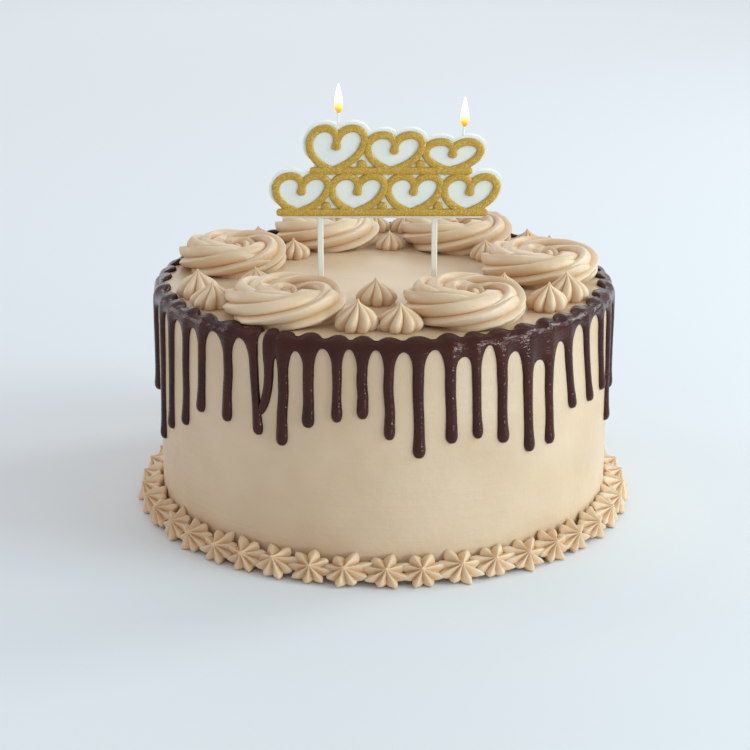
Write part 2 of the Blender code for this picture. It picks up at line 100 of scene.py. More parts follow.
def mixColour(nodes, links, share, first, second):
    mix = nodes.new("ShaderNodeMix")
    mix.data_type = "RGBA"
    for socket, value in ((mix.inputs[0], share), (mix.inputs[6], first), (mix.inputs[7], second)):
        if hasattr(value, "is_linked"):
            links.new(value, socket)
        else:
            socket.default_value = value
    return mix.outputs[2]


def addBump(nodes, links, height, strength, distance, before=None):
    bump = nodes.new("ShaderNodeBump")
    bump.inputs["Strength"].default_value = strength
    bump.inputs["Distance"].default_value = distance
    links.new(height, bump.inputs["Height"])
    if before:
        links.new(before, bump.inputs["Normal"])
    return bump.outputs["Normal"]


def finishPiece(name, bm, material, nodes=(), smoothAngle=180):
    bmesh.ops.recalc_face_normals(bm, faces=bm.faces)
    mesh = bpy.data.meshes.new(name)
    bm.to_mesh(mesh)
    bm.free()
    mesh.shade_smooth()
    if smoothAngle < 180:
        mesh.set_sharp_from_angle(angle=math.radians(smoothAngle))
    mesh.materials.append(material)
    piece = bpy.data.objects.new(name, mesh)
    bpy.context.scene.collection.objects.link(piece)
    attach(piece, "root")
    if nodes:
        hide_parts(*nodes)
    return piece


def newVerts(grown):
    return [g for g in grown["geom"] if isinstance(g, bmesh.types.BMVert)]


def loftRings(rings, tip):  # rings of (point, painted crease shade amount): the first is filled, the last drawn to the tip
    bm = bmesh.new()
    column = bm.verts.layers.int.new("column")
    creaseShade = bm.verts.layers.float.new("creaseShade")
    count = len(rings[0])
    disc = bmesh.ops.create_circle(bm, cap_ends=True, cap_tris=True, segments=count, radius=1)["verts"]
    middle = min(disc, key=lambda vert: vert.co.length)
    outer = [vert for vert in disc if vert != middle]
    for vert in outer:
        vert[column] = round(math.atan2(vert.co.y, vert.co.x) / math.tau * count) % count
    rim = [edge for edge in bm.edges if middle not in edge.verts]
    middle.co = sum((point for point, _ in rings[0]), Vector()) / count
    # the hidden middle of the foot gets full painted crease shade
    middle[creaseShade] = 1
    for vert in outer:
        vert.co, vert[creaseShade] = rings[0][vert[column]]
    for ring in rings[1:]:
        grown = bmesh.ops.extrude_edge_only(bm, edges=rim)
        fresh = newVerts(grown)
        for vert in fresh:
            vert.co, vert[creaseShade] = ring[vert[column]]
        fresh = set(fresh)
        rim = [g for g in grown["geom"] if isinstance(g, bmesh.types.BMEdge) and set(g.verts) <= fresh]
    grown = bmesh.ops.extrude_edge_only(bm, edges=rim)
    bmesh.ops.pointmerge(bm, verts=newVerts(grown), merge_co=tip)
    return bm


def joinInto(whole, part):
    mesh = bpy.data.meshes.new("part")
    part.to_mesh(mesh)
    part.free()
    whole.from_mesh(mesh)
    bpy.data.meshes.remove(mesh)


# materials

creamLook = {
    "light": (0.72, 0.54, 0.365),
    "dark": (0.65, 0.465, 0.295),
    # painted shade: a darker orange mixed into the piping's creases, where shade falls
    "creaseShade": (0.66, 0.335, 0.10),
    "creaseShadeWidth": 2.3,  # higher keeps the painted crease shade deeper in
    "roughness": 0.42,
    "gloss": 0.6,
    "soft": 0.10,  # how much light goes into the icing
    "softReach": (6 * mm, 3 * mm, 1.5 * mm),
    "patches": 22,
    # scale, bump strength, bump depth
    "grain": (900, 0.16, 0.5 * mm),
    "lumps": (170, 0.20, 1.6 * mm),
    "streaks": ((9, 9, 420), 0.32, 0.7 * mm),  # level, as the icing was drawn smooth
    "pits": (95, 0.35, 0.4 * mm),
}


def creamMaterial(name, streaky, creaseShadeShare, gain=1.0):
    material, nodes, links, shader = newMaterial(name)
    plain = objectPattern(nodes, links, (1, 1, 1))
    broad = noiseField(nodes, links, plain, creamLook["patches"], 2)
    dark = [gain * part for part in creamLook["dark"]]
    light = [gain * part for part in creamLook["light"]]
    colour = colourRamp(nodes, links, broad, ((0.35, dark), (0.65, light)))
    # paints shade into the creases, by the crease depth that each point carries
    if creaseShadeShare:
        attribute = nodes.new("ShaderNodeAttribute")
        attribute.attribute_name = "creaseShade"
        power = nodes.new("ShaderNodeMath")
        power.operation = "POWER"
        power.inputs[1].default_value = creamLook["creaseShadeWidth"]
        links.new(attribute.outputs["Fac"], power.inputs[0])
        share = nodes.new("ShaderNodeMath")
        share.operation = "MULTIPLY"
        share.inputs[1].default_value = creaseShadeShare
        links.new(power.outputs[0], share.inputs[0])
        colour = mixColour(nodes, links, share.outputs[0], colour, (*creamLook["creaseShade"], 1))
    links.new(colour, shader.inputs["Base Color"])
    scale, strength, depth = creamLook["grain"]
    fine = noiseField(nodes, links, plain, scale, 3, 0.6)
    normal = addBump(nodes, links, fine, strength, depth)
    scale, strength, depth = creamLook["lumps"]
    lumps = noiseField(nodes, links, plain, scale, 2)
    normal = addBump(nodes, links, lumps, strength, depth, normal)
    if streaky:
        scale, strength, depth = creamLook["streaks"]
        drawn = objectPattern(nodes, links, scale)
        streaks = noiseField(nodes, links, drawn, 1.0, 4, 0.55)
        normal = addBump(nodes, links, streaks, strength, depth, normal)
        scale, strength, depth = creamLook["pits"]
        pits = nodes.new("ShaderNodeTexVoronoi")
        pits.inputs["Scale"].default_value = scale
        links.new(plain, pits.inputs["Vector"])
        holes = colourRamp(
            nodes, links, pits.outputs["Distance"],
            ((0.0, (0, 0, 0)), (0.07, (1, 1, 1))),
        )
        normal = addBump(nodes, links, holes, strength, depth, normal)
    links.new(normal, shader.inputs["Normal"])
    shader.inputs["Roughness"].default_value = creamLook["roughness"]
    shader.inputs["Subsurface Weight"].default_value = creamLook["soft"]
    shader.inputs["Subsurface Radius"].default_value = creamLook["softReach"]
    shader.inputs["Subsurface Scale"].default_value = 1.0
    shader.inputs["Specular IOR Level"].default_value = creamLook["gloss"]
    return material


chocolateLook = {
    "colours": ((0.3, (0.023, 0.0038, 0.0020)), (0.7, (0.049, 0.0080, 0.0038))),
    "patches": 60,
    # scale, bump strength, bump depth
    "ripples": ((130, 130, 430), 0.60, 1.1 * mm),  # across the drips
    "specks": (1300, 0.42, 0.3 * mm),
    "roughness": 0.15,
    "gloss": 0.40,
    "glossTint": (1.0, 0.75, 0.70, 1),
}


def chocolateMaterial():
    material, nodes, links, shader = newMaterial("darkChocolate")
    plain = objectPattern(nodes, links, (1, 1, 1))
    tone = noiseField(nodes, links, plain, chocolateLook["patches"], 3)
    colour = colourRamp(nodes, links, tone, chocolateLook["colours"])
    links.new(colour, shader.inputs["Base Color"])
    scale, strength, depth = chocolateLook["ripples"]
    running = objectPattern(nodes, links, scale)
    ripple = noiseField(nodes, links, running, 1.0, 2)
    normal = addBump(nodes, links, ripple, strength, depth)
    scale, strength, depth = chocolateLook["specks"]
    specks = noiseField(nodes, links, plain, scale, 2)
    normal = addBump(nodes, links, specks, strength, depth, normal)
    links.new(normal, shader.inputs["Normal"])
    shader.inputs["Roughness"].default_value = chocolateLook["roughness"]
    shader.inputs["Specular IOR Level"].default_value = chocolateLook["gloss"]
    shader.inputs["Specular Tint"].default_value = chocolateLook["glossTint"]
    return material


goldLook = {
    "colours": ((0.15, (0.46, 0.265, 0.025)), (0.6, (0.60, 0.37, 0.050)), (0.95, (0.80, 0.57, 0.17))),
    # scale, bump strength, bump depth
    "flakes": (2600, 0.5, 0.3 * mm),
    "roughness": 0.42,
    "metal": 0.35,
}


def goldMaterial():
    material, nodes, links, shader = newMaterial("goldGlitter")
    plain = objectPattern(nodes, links, (1, 1, 1))
    scale, strength, depth = goldLook["flakes"]
    flakes = nodes.new("ShaderNodeTexVoronoi")
    flakes.inputs["Scale"].default_value = scale
    links.new(plain, flakes.inputs["Vector"])
    colour = colourRamp(nodes, links, flakes.outputs["Color"], goldLook["colours"])
    links.new(colour, shader.inputs["Base Color"])
    normal = addBump(nodes, links, flakes.outputs["Distance"], strength, depth)
    links.new(normal, shader.inputs["Normal"])
    shader.inputs["Roughness"].default_value = goldLook["roughness"]
    shader.inputs["Metallic"].default_value = goldLook["metal"]
    return material


waxLook = {
    "colours": ((0.3, (0.80, 0.84, 0.80)), (0.7, (0.88, 0.90, 0.84))),
    "patches": 90,
    # scale, bump strength, bump depth
    "grain": (500, 0.12, 0.6 * mm),
    "roughness": 0.38,
    "soft": 0.2,
    "softReach": (4 * mm, 4 * mm, 3 * mm),
}


def waxMaterial():
    material, nodes, links, shader = newMaterial("whiteWax")
    plain = objectPattern(nodes, links, (1, 1, 1))
    cloud = noiseField(nodes, links, plain, waxLook["patches"], 3)
    colour = colourRamp(nodes, links, cloud, waxLook["colours"])
    links.new(colour, shader.inputs["Base Color"])
    scale, strength, depth = waxLook["grain"]
    fine = noiseField(nodes, links, plain, scale, 3)
    links.new(addBump(nodes, links, fine, strength, depth), shader.inputs["Normal"])
    shader.inputs["Roughness"].default_value = waxLook["roughness"]
    shader.inputs["Subsurface Weight"].default_value = waxLook["soft"]
    shader.inputs["Subsurface Radius"].default_value = waxLook["softReach"]
    shader.inputs["Subsurface Scale"].default_value = 1.0
    return material


stickLook = {
    "colours": ((0.3, (0.80, 0.81, 0.71)), (0.7, (0.91, 0.91, 0.83))),
    # scale, bump strength, bump depth
    "grain": ((600, 600, 14), 0.15, 0.3 * mm),  # drawn out along the stick
    "roughness": 0.4,
}


def stickMaterial():
    material, nodes, links, shader = newMaterial("creamyPlastic")
    scale, strength, depth = stickLook["grain"]
    along = objectPattern(nodes, links, scale)
    grain = noiseField(nodes, links, along, 1.0, 3)
    colour = colourRamp(nodes, links, grain, stickLook["colours"])
    links.new(colour, shader.inputs["Base Color"])
    links.new(addBump(nodes, links, grain, strength, depth), shader.inputs["Normal"])
    shader.inputs["Roughness"].default_value = stickLook["roughness"]
    return material


smoothCream = creamMaterial("smoothedButtercream", True, 0)
# 0.75 of the painted crease shade, with the base colours 1.10 lighter to make up for it
pipedCream = creamMaterial("pipedButtercream", False, 0.75, 1.10)
chocolate = chocolateMaterial()
gold = goldMaterial()
wax = waxMaterial()
plastic = stickMaterial()
print("materials made")


# the cake under its smoothed icing

def icedCake():
    bm = bmesh.new()
    r, h, rim, foot = cake["radius"], cake["height"], cake["rim"], cake["foot"]
    levels, inner = cake["levels"], cake["rings"]
    profile = [(0, 0), (r * 0.5, 0), (r - foot, 0), (r, foot)]
    profile += [(r, foot + (h - rim - foot) * i / levels) for i in range(1, levels + 1)]
    for i in range(1, 7):
        a = math.radians(15 * i)
        profile.append((r - rim * (1 - math.cos(a)), h - rim * (1 - math.sin(a))))
    profile += [((r - rim) * (1 - i / inner), h) for i in range(1, inner + 1)]
    verts = [bm.verts.new((x, 0, z)) for x, z in profile]
    edges = [bm.edges.new(pair) for pair in zip(verts, verts[1:])]
    bmesh.ops.spin(
        bm, geom=verts + edges, axis=(0, 0, 1), cent=(0, 0, 0), angle=math.tau,
        steps=cake["segments"], use_merge=True,
    )
    bmesh.ops.remove_doubles(bm, verts=bm.verts, dist=0.01 * mm)
    for vert in bm.verts:
        p = vert.co
        if p.z < 1 * mm:
            continue
        broad = noise.noise(p * Vector(cake["waveScale"]))
        fine = noise.noise(p * Vector(cake["streakScale"]))
        out = Vector((p.x, p.y, 0))
        if out.length > r - rim:
            vert.co += out.normalized() * (broad * cake["waves"] + fine * cake["streaks"])
        else:
            vert.co.z += broad * cake["waves"] * 0.8
    finishPiece("icedCake", bm, smoothCream, ["cake"])


icedCake()
print("cake made")


# the chocolate collar and its drips

drips = {
    "width": 4.9 * mm,
    "thickness": 2.9 * mm,
    "pitch": 7.2,
    "lobe": 107.4 * mm,
    "notch": 111.4 * mm,
    "fuller": 1.16,  # makes up for what subdivision takes off
    # tip angle, tip height in mm, top angle, depth of the arch that follows in mm
    "listed": (
        (-82.6, 60, -78.5, 6), (-72.3, 41, -69.4, 5), (-64.7, 51.5, -62.6, 5),
        (-56.2, 58.7, -54.6, 5), (-49.1, 69.4, -47.9, 3), (-39.8, 69.4, -39.0, 3),
        (-30.5, 66.7, -31.4, 0), (-30.4, 75.5, -27.3, 10.3), (-24.3, 63.5, -23.7, 5.2),
        (-17.7, 73.9, -17.4, 2.6), (-10.9, 77.7, -10.8, 2.2), (-5.0, 79.9, -5.0, 2.2),
        (1.1, 69.9, 1.0, 3.4), (7.9, 60.6, 7.6, 2.8), (15.5, 66.7, 15.0, 7.7),
        (21.9, 67.6, 21.2, 3.0), (28.6, 63.4, 27.8, 8.4), (36.2, 56, 35.1, 15.7),
        (42.7, 56.8, 41.9, 9.2), (51.2, 70.2, 48.6, 3.9), (59.8, 68.8, 56.4, 3.4),
        (68.2, 69.4, 65.5, 5), (75.5, 48.5, 73.2, 6), (84.0, 60, 82.4, 5),
    ),
    "breakAfter": 6,
    "joining": 7,  # this drip bends and runs into the one before it
    "lean": 1.3,
    "joiningLean": 2.6,
    "backing": 1.4 * mm,  # how far the collar reaches into the cake's side
    "under": 1.5 * mm,  # and into its top
    "proud": {"gap": 1.1 * mm, "side": 1.3 * mm, "middle": 2.4 * mm},
    "rise": {"gap": 0.5, "side": 1.05, "middle": 1.4},
    "otherTips": (44, 84, 66),
    "otherArches": (3, 8),
}
perDrip = 5  # columns of the collar: left, middle and right of a drip, and two in the arch beside it


def allDrips(rng):  # tip angle, tip height, top angle, arch depth, width
    rows = []
    for tipAngle, tip, topAngle, arch in drips["listed"]:
        rows.append((tipAngle, tip * mm, topAngle, arch * mm, drips["width"] * rng.uniform(0.92, 1.12)))
    start = drips["listed"][-1][0]
    rest = 360 + drips["listed"][0][0] - start
    count = round(rest / drips["pitch"])
    for i in range(1, count):
        angle = start + rest * (i + rng.uniform(-0.16, 0.16)) / count
        tip = rng.triangular(*drips["otherTips"]) * mm
        lean = rng.uniform(-0.6, 0.6)
        arch = rng.uniform(*drips["otherArches"]) * mm
        rows.append((angle, tip, angle - lean, arch, drips["width"] * rng.uniform(0.88, 1.12)))
    return rows


def collarSection(kind, foot, lobe, full=1.0):  # distance and height of the points round it
    r, h = cake["radius"], cake["height"]
    proud = drips["proud"][kind]
    rise = drips["rise"][kind] * full
    return (
        (r - drips["backing"], foot),
        (r - drips["backing"], h - drips["under"]),
        (lobe + 1.2 * mm, h - drips["under"]),
        (lobe - 0.3 * mm, h - 0.6 * mm),
        (lobe, h + 1.4 * rise * mm),
        (lobe + 1.8 * mm, h + 2.2 * rise * mm),
        (r - 3.4 * mm, h + (0.6 + 1.2 * rise) * mm),
        (r - 0.3 * mm + 0.6 * rise * mm, h + 0.5 * rise * mm),
        (r + (0.9 + 0.9 * rise) * mm, max(h - 3.0 * mm, foot + 0.8 * mm)),
        (r + proud, foot),
    )


def pouredChocolate():
    rng = random.Random(11)
    rows = allDrips(rng)
    count = len(rows)
    tops = [row[2] for row in rows]
    columns = []  # angle, angle at the inner edge, kind, foot height, lobe radius, fullness
    h = cake["height"]
    for i, (topAngle, arch, width) in enumerate(row[2:] for row in rows):
        half = math.degrees(width / 2 / cake["radius"])
        nextHalf = math.degrees(rows[(i + 1) % count][4] / 2 / cake["radius"])
        nextTop = tops[(i + 1) % count] + (360 if i + 1 == count else 0)
        room = nextTop - nextHalf - topAngle - half
        root = h - max(rng.uniform(9.0, 11.0) * mm, arch + 4 * mm, rows[i - 1][3] + 4 * mm)
        lobe = drips["lobe"] + rng.uniform(-0.3, 0.8) * mm
        notch = drips["notch"] + rng.uniform(-0.4, 0.7) * mm
        full = rng.uniform(0.8, 1.15)
        edge = topAngle + half
        before = 0 if i == drips["breakAfter"] + 1 else 0.14 * room
        after = 0 if i == drips["breakAfter"] else 0.14 * room
        columns.append((topAngle - half, topAngle - half - before, "side", root, lobe + 0.5 * mm, full))
        columns.append((topAngle, topAngle, "middle", root, lobe - 0.4 * mm, full))
        columns.append((edge, edge + after, "side", root, lobe + 0.5 * mm, full))
        if i == drips["breakAfter"]:
            columns.append((edge + 0.06 * room, edge + 0.04 * room, "gap", root, lobe + 3.4 * mm, 1.0))
            columns.append((edge + 0.94 * room, edge + 0.96 * room, "gap", root, lobe + 3.4 * mm, 1.0))
        else:
            for share, inwards, further in ((0.25, 0.40, 0), (0.75, 0.60, 0.2 * mm)):
                outer, inner = edge + share * room, edge + inwards * room
                columns.append((outer, inner, "gap", h - arch, notch + further, 1.0))

    bm = bmesh.new()
    place = bm.verts.layers.int.new("place")
    section = collarSection("gap", h * 0.9, drips["lobe"])
    verts = [bm.verts.new((r, 0, z)) for r, z in section]
    for i, vert in enumerate(verts):
        vert[place] = i
    edges = [bm.edges.new(pair) for pair in zip(verts, verts[1:] + verts[:1])]
    bmesh.ops.spin(
        bm, geom=verts + edges, axis=(0, 0, 1), cent=(0, 0, 0), angle=math.tau,
        steps=len(columns), use_merge=True,
    )
    column = bm.verts.layers.int.new("column")
    for vert in bm.verts:
        vert[column] = round(math.atan2(vert.co.y, vert.co.x) / math.tau * len(columns)) % len(columns)
    for vert in bm.verts:
        angle, innerAngle, kind, foot, lobe, full = columns[vert[column]]
        distance, height = collarSection(kind, foot, lobe, full)[vert[place]]
        vert.co = onCake(innerAngle if 2 <= vert[place] <= 5 else angle, distance, height)

    openAt = {perDrip * drips["breakAfter"] + 3, perDrip * drips["breakAfter"] + 4}
    gone = [f for f in bm.faces if {v[column] for v in f.verts} == openAt]
    bmesh.ops.delete(bm, geom=gone, context="FACES_ONLY")
    bmesh.ops.delete(bm, geom=[e for e in bm.edges if not e.link_faces], context="EDGES")
    for side in openAt:
        bare = [e for e in bm.edges if len(e.link_faces) == 1]
        bmesh.ops.holes_fill(bm, edges=[e for e in bare if {v[column] for v in e.verts} == {side}])

    last = len(section) - 1
    roots = {}
    for face in bm.faces:
        if {v[place] for v in face.verts} != {0, last}:
            continue
        steps = {v[column] for v in face.verts}
        drip = min(steps) // perDrip
        if max(steps) - min(steps) == 1 and min(steps) % perDrip < 2:
            roots.setdefault(drip, []).append(face)
    for i, row in enumerate(rows):
        growDrip(bm, roots[i], place, column, last, row, rng, i == drips["joining"])
    piece = finishPiece("pouredChocolate", bm, chocolate, ["chocolate_drips"])
    smooth = piece.modifiers.new("smooth", "SUBSURF")
    smooth.levels = smooth.render_levels = 2


def growDrip(bm, faces, place, column, last, row, rng, joining):  # neck, run, bulb and tip
    tipAngle, tip, topAngle, _, width = row
    lean = drips["joiningLean"] if joining else drips["lean"]
    r = cake["radius"]
    root = faces[0].calc_center_median().z
    length = root - tip
    neck = rng.uniform(0.84, 0.96)
    waver = rng.uniform(-0.35, 0.35)
    sections = (  # share of the length, of the width, of the thickness, sideways waver
        (0.14, 0.98, 0.92, 0.2),
        (0.34, neck, 0.88, 0.9),
        (0.60, neck + 0.02, 0.88, -0.6),
        (1 - 9.0 * mm / length, neck + 0.05, 0.92, -0.3),
        (1 - 4.6 * mm / length, 1.04, 1.12, 0.0),
        (1 - 1.6 * mm / length, 1.10, 1.20, 0.0),
        (1 + 0.9 * mm / length, 0.58, 0.72, 0.0),
    )
    if joining:
        sections = (
            (0.14, 0.92, 0.92, 0.0), (0.36, 0.86, 0.90, 0.0), (0.56, 0.86, 0.88, 0.0),
            (0.74, 0.92, 0.84, 0.0), (0.88, 0.90, 0.74, 0.0), (1.0, 0.70, 0.45, 0.0),
        )
    for share, wide, thick, sway in sections:
        grown = bmesh.ops.extrude_face_region(bm, geom=faces)
        bmesh.ops.delete(bm, geom=faces, context="FACES")
        faces = [g for g in grown["geom"] if isinstance(g, bmesh.types.BMFace)]
        bend = topAngle + (tipAngle - topAngle) * share ** lean + waver * sway
        for vert in {v for f in faces for v in f.verts}:
            side = vert[column] % perDrip - 1
            half = math.degrees(width * wide * drips["fuller"] / 2 / r)
            if vert[place] == last:
                out = drips["thickness"] * thick * (0.45 if side else 1)
                vert.co = onCake(bend + side * half * 0.96, r + out, root - share * length)
            else:
                vert.co = onCake(bend + side * half, r - 1.3 * mm, root - share * length)


pouredChocolate()
print("chocolate made")


# the piped rosettes

rosettes = {
    # angle, distance and largest radius in mm, turn of the tail in degrees
    "rosette_front_left": (-34.5, 81.3, 31.0, 20),
    "rosette_front_right": (29.6, 78.2, 31.2, 5),
    "rosette_right": (92.1, 80.3, 32.0, -20),
    "rosette_back_right": (150.8, 81.5, 31.4, 80),
    "rosette_back_left": (-157.5, 80.6, 29.8, 40),
    "rosette_left": (-105.1, 80.4, 29.4, -35),
}
rope = {
    "ridges": 6,
    "across": 10.0 * mm,
    "high": 8.6 * mm,
    "middle": 6.8 * mm,  # height of its centre line
    "turns": 2.1,
    "opening": 3.0,  # how fast the swirl opens
    "steps": 180,
    "cut": 0.39,  # depth of the creases
    "places": (0, 0.05, 0.16, 0.34, 0.52, 0.64, 0.70, 0.75, 0.86, 0.95),  # points of a ridge
    "crest": 0.70,
    "axisGap": 0.25 * mm,
    "startSize": 0.52,
    "growth": 1.3,
    "uneven": 0.05,
    "peak": 0.45,  # the thinner start stands nearly as high
    "tailFrom": 0.93,
    "tailThin": 0.78,
    "tailOut": 0.35,
    "tornFrom": 0.80,
    "torn": 0.5 * mm,
    "tipHeight": 7.5 * mm,
}


def ridgedRing(outward, across, high, phase, seed):  # offsets, and crease depths that also set the painted crease shade
    ring = []
    crest = rope["crest"]
    for ridge in range(rope["ridges"]):
        for u in rope["places"]:
            a = phase + math.tau * (ridge + u) / rope["ridges"]
            lobe = (u / crest) ** 0.5 if u < crest else ((1 - u) / (1 - crest)) ** 0.8
            reach = 1 - rope["cut"] + rope["cut"] * lobe
            reach *= 1 + 0.04 * noise.noise(Vector((math.cos(a) * 2, math.sin(a) * 2, seed)))
            offset = outward * math.cos(a) * across + Vector((0, 0, math.sin(a) * high))
            # 1 - lobe: the deeper in a crease, the more painted crease shade
            ring.append((offset * reach, 1 - lobe))
    return ring


def swirlRadius(t, reach):
    return reach * (1 - (1 - t) ** rope["opening"])


def ropeSize(t):
    return min(1, rope["startSize"] + rope["growth"] * t)


def pipedRosette(node, angle, distance, radius, tail, seed):
    rng = random.Random(seed)
    total = math.tau * rope["turns"] * rng.uniform(0.97, 1.03)
    steps = rope["steps"]
    oneTurn = math.tau / total
    reach = radius * mm - rope["across"]
    middle = onCake(angle, distance * mm, cake["height"])
    start = math.radians(tail) - total
    up = Vector((0, 0, 1))
    rings = []
    for step in range(steps + 1):
        t = step / steps
        a = start + total * t
        pathRadius = swirlRadius(t, reach)
        outward = Vector((math.cos(a), math.sin(a), 0))
        size = ropeSize(t) * (1 + rope["uneven"] * noise.noise(Vector((t * 9, seed, 0))))
        if t > rope["tailFrom"]:
            fade = (t - rope["tailFrom"]) / (1 - rope["tailFrom"])
            size *= 1 - rope["tailThin"] * fade ** 1.5
            pathRadius += rope["across"] * rope["tailOut"] * fade ** 2
        lift = rope["middle"] + 0.5 * mm * noise.noise(Vector((t * 6, seed, 5)))
        centre = outward * pathRadius + up * lift * (0.75 + 0.25 * size)
        tall = rope["high"] * size * (1 + rope["peak"] * max(0, 1 - t / 0.3))
        torn = rope["torn"] * min(1, max(0, (t - rope["tornFrom"]) / 0.12))
        before = max(0, t - oneTurn)
        filled = swirlRadius(before, reach)
        filled += rope["across"] * 0.5 * ropeSize(before) * min(1, t / oneTurn) ** 3
        inward = max(1, (pathRadius - filled) / (rope["across"] * size))  # closes the middle
        ring = []
        for offset, depth in ridgedRing(outward, rope["across"] * size, tall, a + seed, seed + t * 7):
            point = centre + offset
            point += offset.normalized() * torn * noise.noise(point * 700)
            point += outward * min(0, offset.dot(outward)) * (inward - 1)
            along = point.x * outward.x + point.y * outward.y
            if along < rope["axisGap"]:  # the inner side ends at the swirl's own axis
                point += outward * (rope["axisGap"] - along)
            ring.append((middle + point, depth))
        rings.append(ring)
    a = start + total * 1.012
    tipOut = Vector((math.cos(a), math.sin(a), 0)) * (reach + rope["across"] * 0.45)
    bm = loftRings(rings, middle + tipOut + up * rope["tipHeight"])
    finishPiece("piped_" + node, bm, pipedCream, [node])


for i, (node, values) in enumerate(rosettes.items()):
    pipedRosette(node, *values, seed=i + 1)
print("rosettes made")


# the small piped stars on top

dropStars = {
    # angle, distance and largest radius in mm
    "outer": (
        (-8.2, 90.7, 9.9), (4.7, 90.6, 9.9), (53.7, 96.3, 9.2), (65.9, 98.0, 9.6),
        (116.4, 97.5, 8.2), (126.6, 97.5, 8.2), (173.1, 99.6, 7.5), (-177.9, 99.7, 7.5),
        (-136.3, 97.6, 7.6), (-126.7, 97.6, 7.6), (-69.6, 97.3, 9.9), (-57.5, 97.8, 9.9),
    ),
    "inner": (
        (-4.4, 47.0, 9.2), (61.6, 66.2, 8.2), (124.4, 65.5, 7.8), (176.6, 60.1, 7.5),
        (-130.9, 62.0, 7.7), (-71.2, 66.8, 8.6),
    ),
    "lobes": 8,
    "pointsPerLobe": 8,
    "shape": 1.2,  # height over radius
    "fuller": 1.06,  # makes up for what the creases take off
    "twist": (8, 26),
    "lean": 0.9 * mm,
    # share of the radius, share of the height, depth of the creases
    "profile": (
        (0.80, -0.06, 0.24), (0.95, 0.05, 0.29), (1.04, 0.18, 0.33), (1.03, 0.31, 0.36),
        (0.95, 0.44, 0.38), (0.80, 0.56, 0.40), (0.61, 0.67, 0.41), (0.42, 0.76, 0.41),
        (0.26, 0.84, 0.38), (0.15, 0.91, 0.30), (0.085, 0.97, 0.2), (0.05, 1.03, 0.1),
    ),
}


def dropStar(node, angle, distance, radius, seed):
    rng = random.Random(seed)
    radius *= dropStars["fuller"]
    height = radius * dropStars["shape"] * rng.uniform(0.94, 1.08)
    lobes = dropStars["lobes"]
    count = lobes * dropStars["pointsPerLobe"]
    spin = rng.uniform(0, math.tau)
    twist = math.radians(rng.uniform(*dropStars["twist"]))
    lean = Vector((rng.uniform(-1, 1), rng.uniform(-1, 1), 0)) * dropStars["lean"]
    middle = onCake(angle, distance * mm, cake["height"])
    rings = []
    for share, high, cut in dropStars["profile"]:
        ring = []
        for i in range(count):
            a = math.tau * i / count
            lobe = abs(math.cos(a * lobes / 2))
            uneven = 1 + 0.05 * noise.noise(Vector((math.cos(a) * 1.5, math.sin(a) * 1.5, seed)))
            reach = radius * share * (1 - cut * (1 - lobe ** 0.75)) * uneven
            turned = a + spin + twist * high
            point = Vector((reach * math.cos(turned), reach * math.sin(turned), height * high))
            # 1 - lobe: the deeper in a crease, the more painted crease shade
            ring.append((middle + (point + lean * high ** 2), 1 - lobe))
        rings.append(ring)
    bm = loftRings(rings, middle + lean + Vector((0, 0, height * 1.08)))
    finishPiece("piped_" + node, bm, pipedCream, [node])


for i, (angle, distance, radius) in enumerate(dropStars["outer"]):
    dropStar(f"drop_star_outer_{i + 1}", angle, distance, radius * mm, 20 + i)
for i, (angle, distance, radius) in enumerate(dropStars["inner"]):
    dropStar(f"drop_star_inner_{i + 1}", angle, distance, radius * mm, 40 + i)
print("drop stars made")


# the star border round the foot

border = {
    "count": 44,
    "radius": 9.4 * mm,
    "lobes": 8,
    "pointsPerLobe": 8,
    "tilt": 45,
    "reachOut": 7.2 * mm,
    "lift": 6.1 * mm,
    "stretch": (1.15, 0.88, 1, 1),
    "petals": (0.86, 1.14),
    "nub": 0.8 * mm,
    # share of the radius, height in mm, depth of the creases, drop of the creases in mm
    "profile": (
        (0.50, -5.0, 0.12, 0.0), (0.82, -3.2, 0.22, 0.0), (1.00, -1.6, 0.29, 0.1),
        (1.09, -0.3, 0.33, 0.3), (1.06, 0.6, 0.33, 1.0), (0.92, 1.5, 0.31, 1.9),
        (0.73, 2.3, 0.29, 2.5), (0.54, 3.0, 0.27, 2.6), (0.36, 3.6, 0.24, 2.1),
        (0.22, 4.1, 0.20, 1.3), (0.12, 4.8, 0.14, 0.4), (0.06, 5.4, 0.0, 0.0),
    ),
    "tipHeight": 5.8 * mm,
}


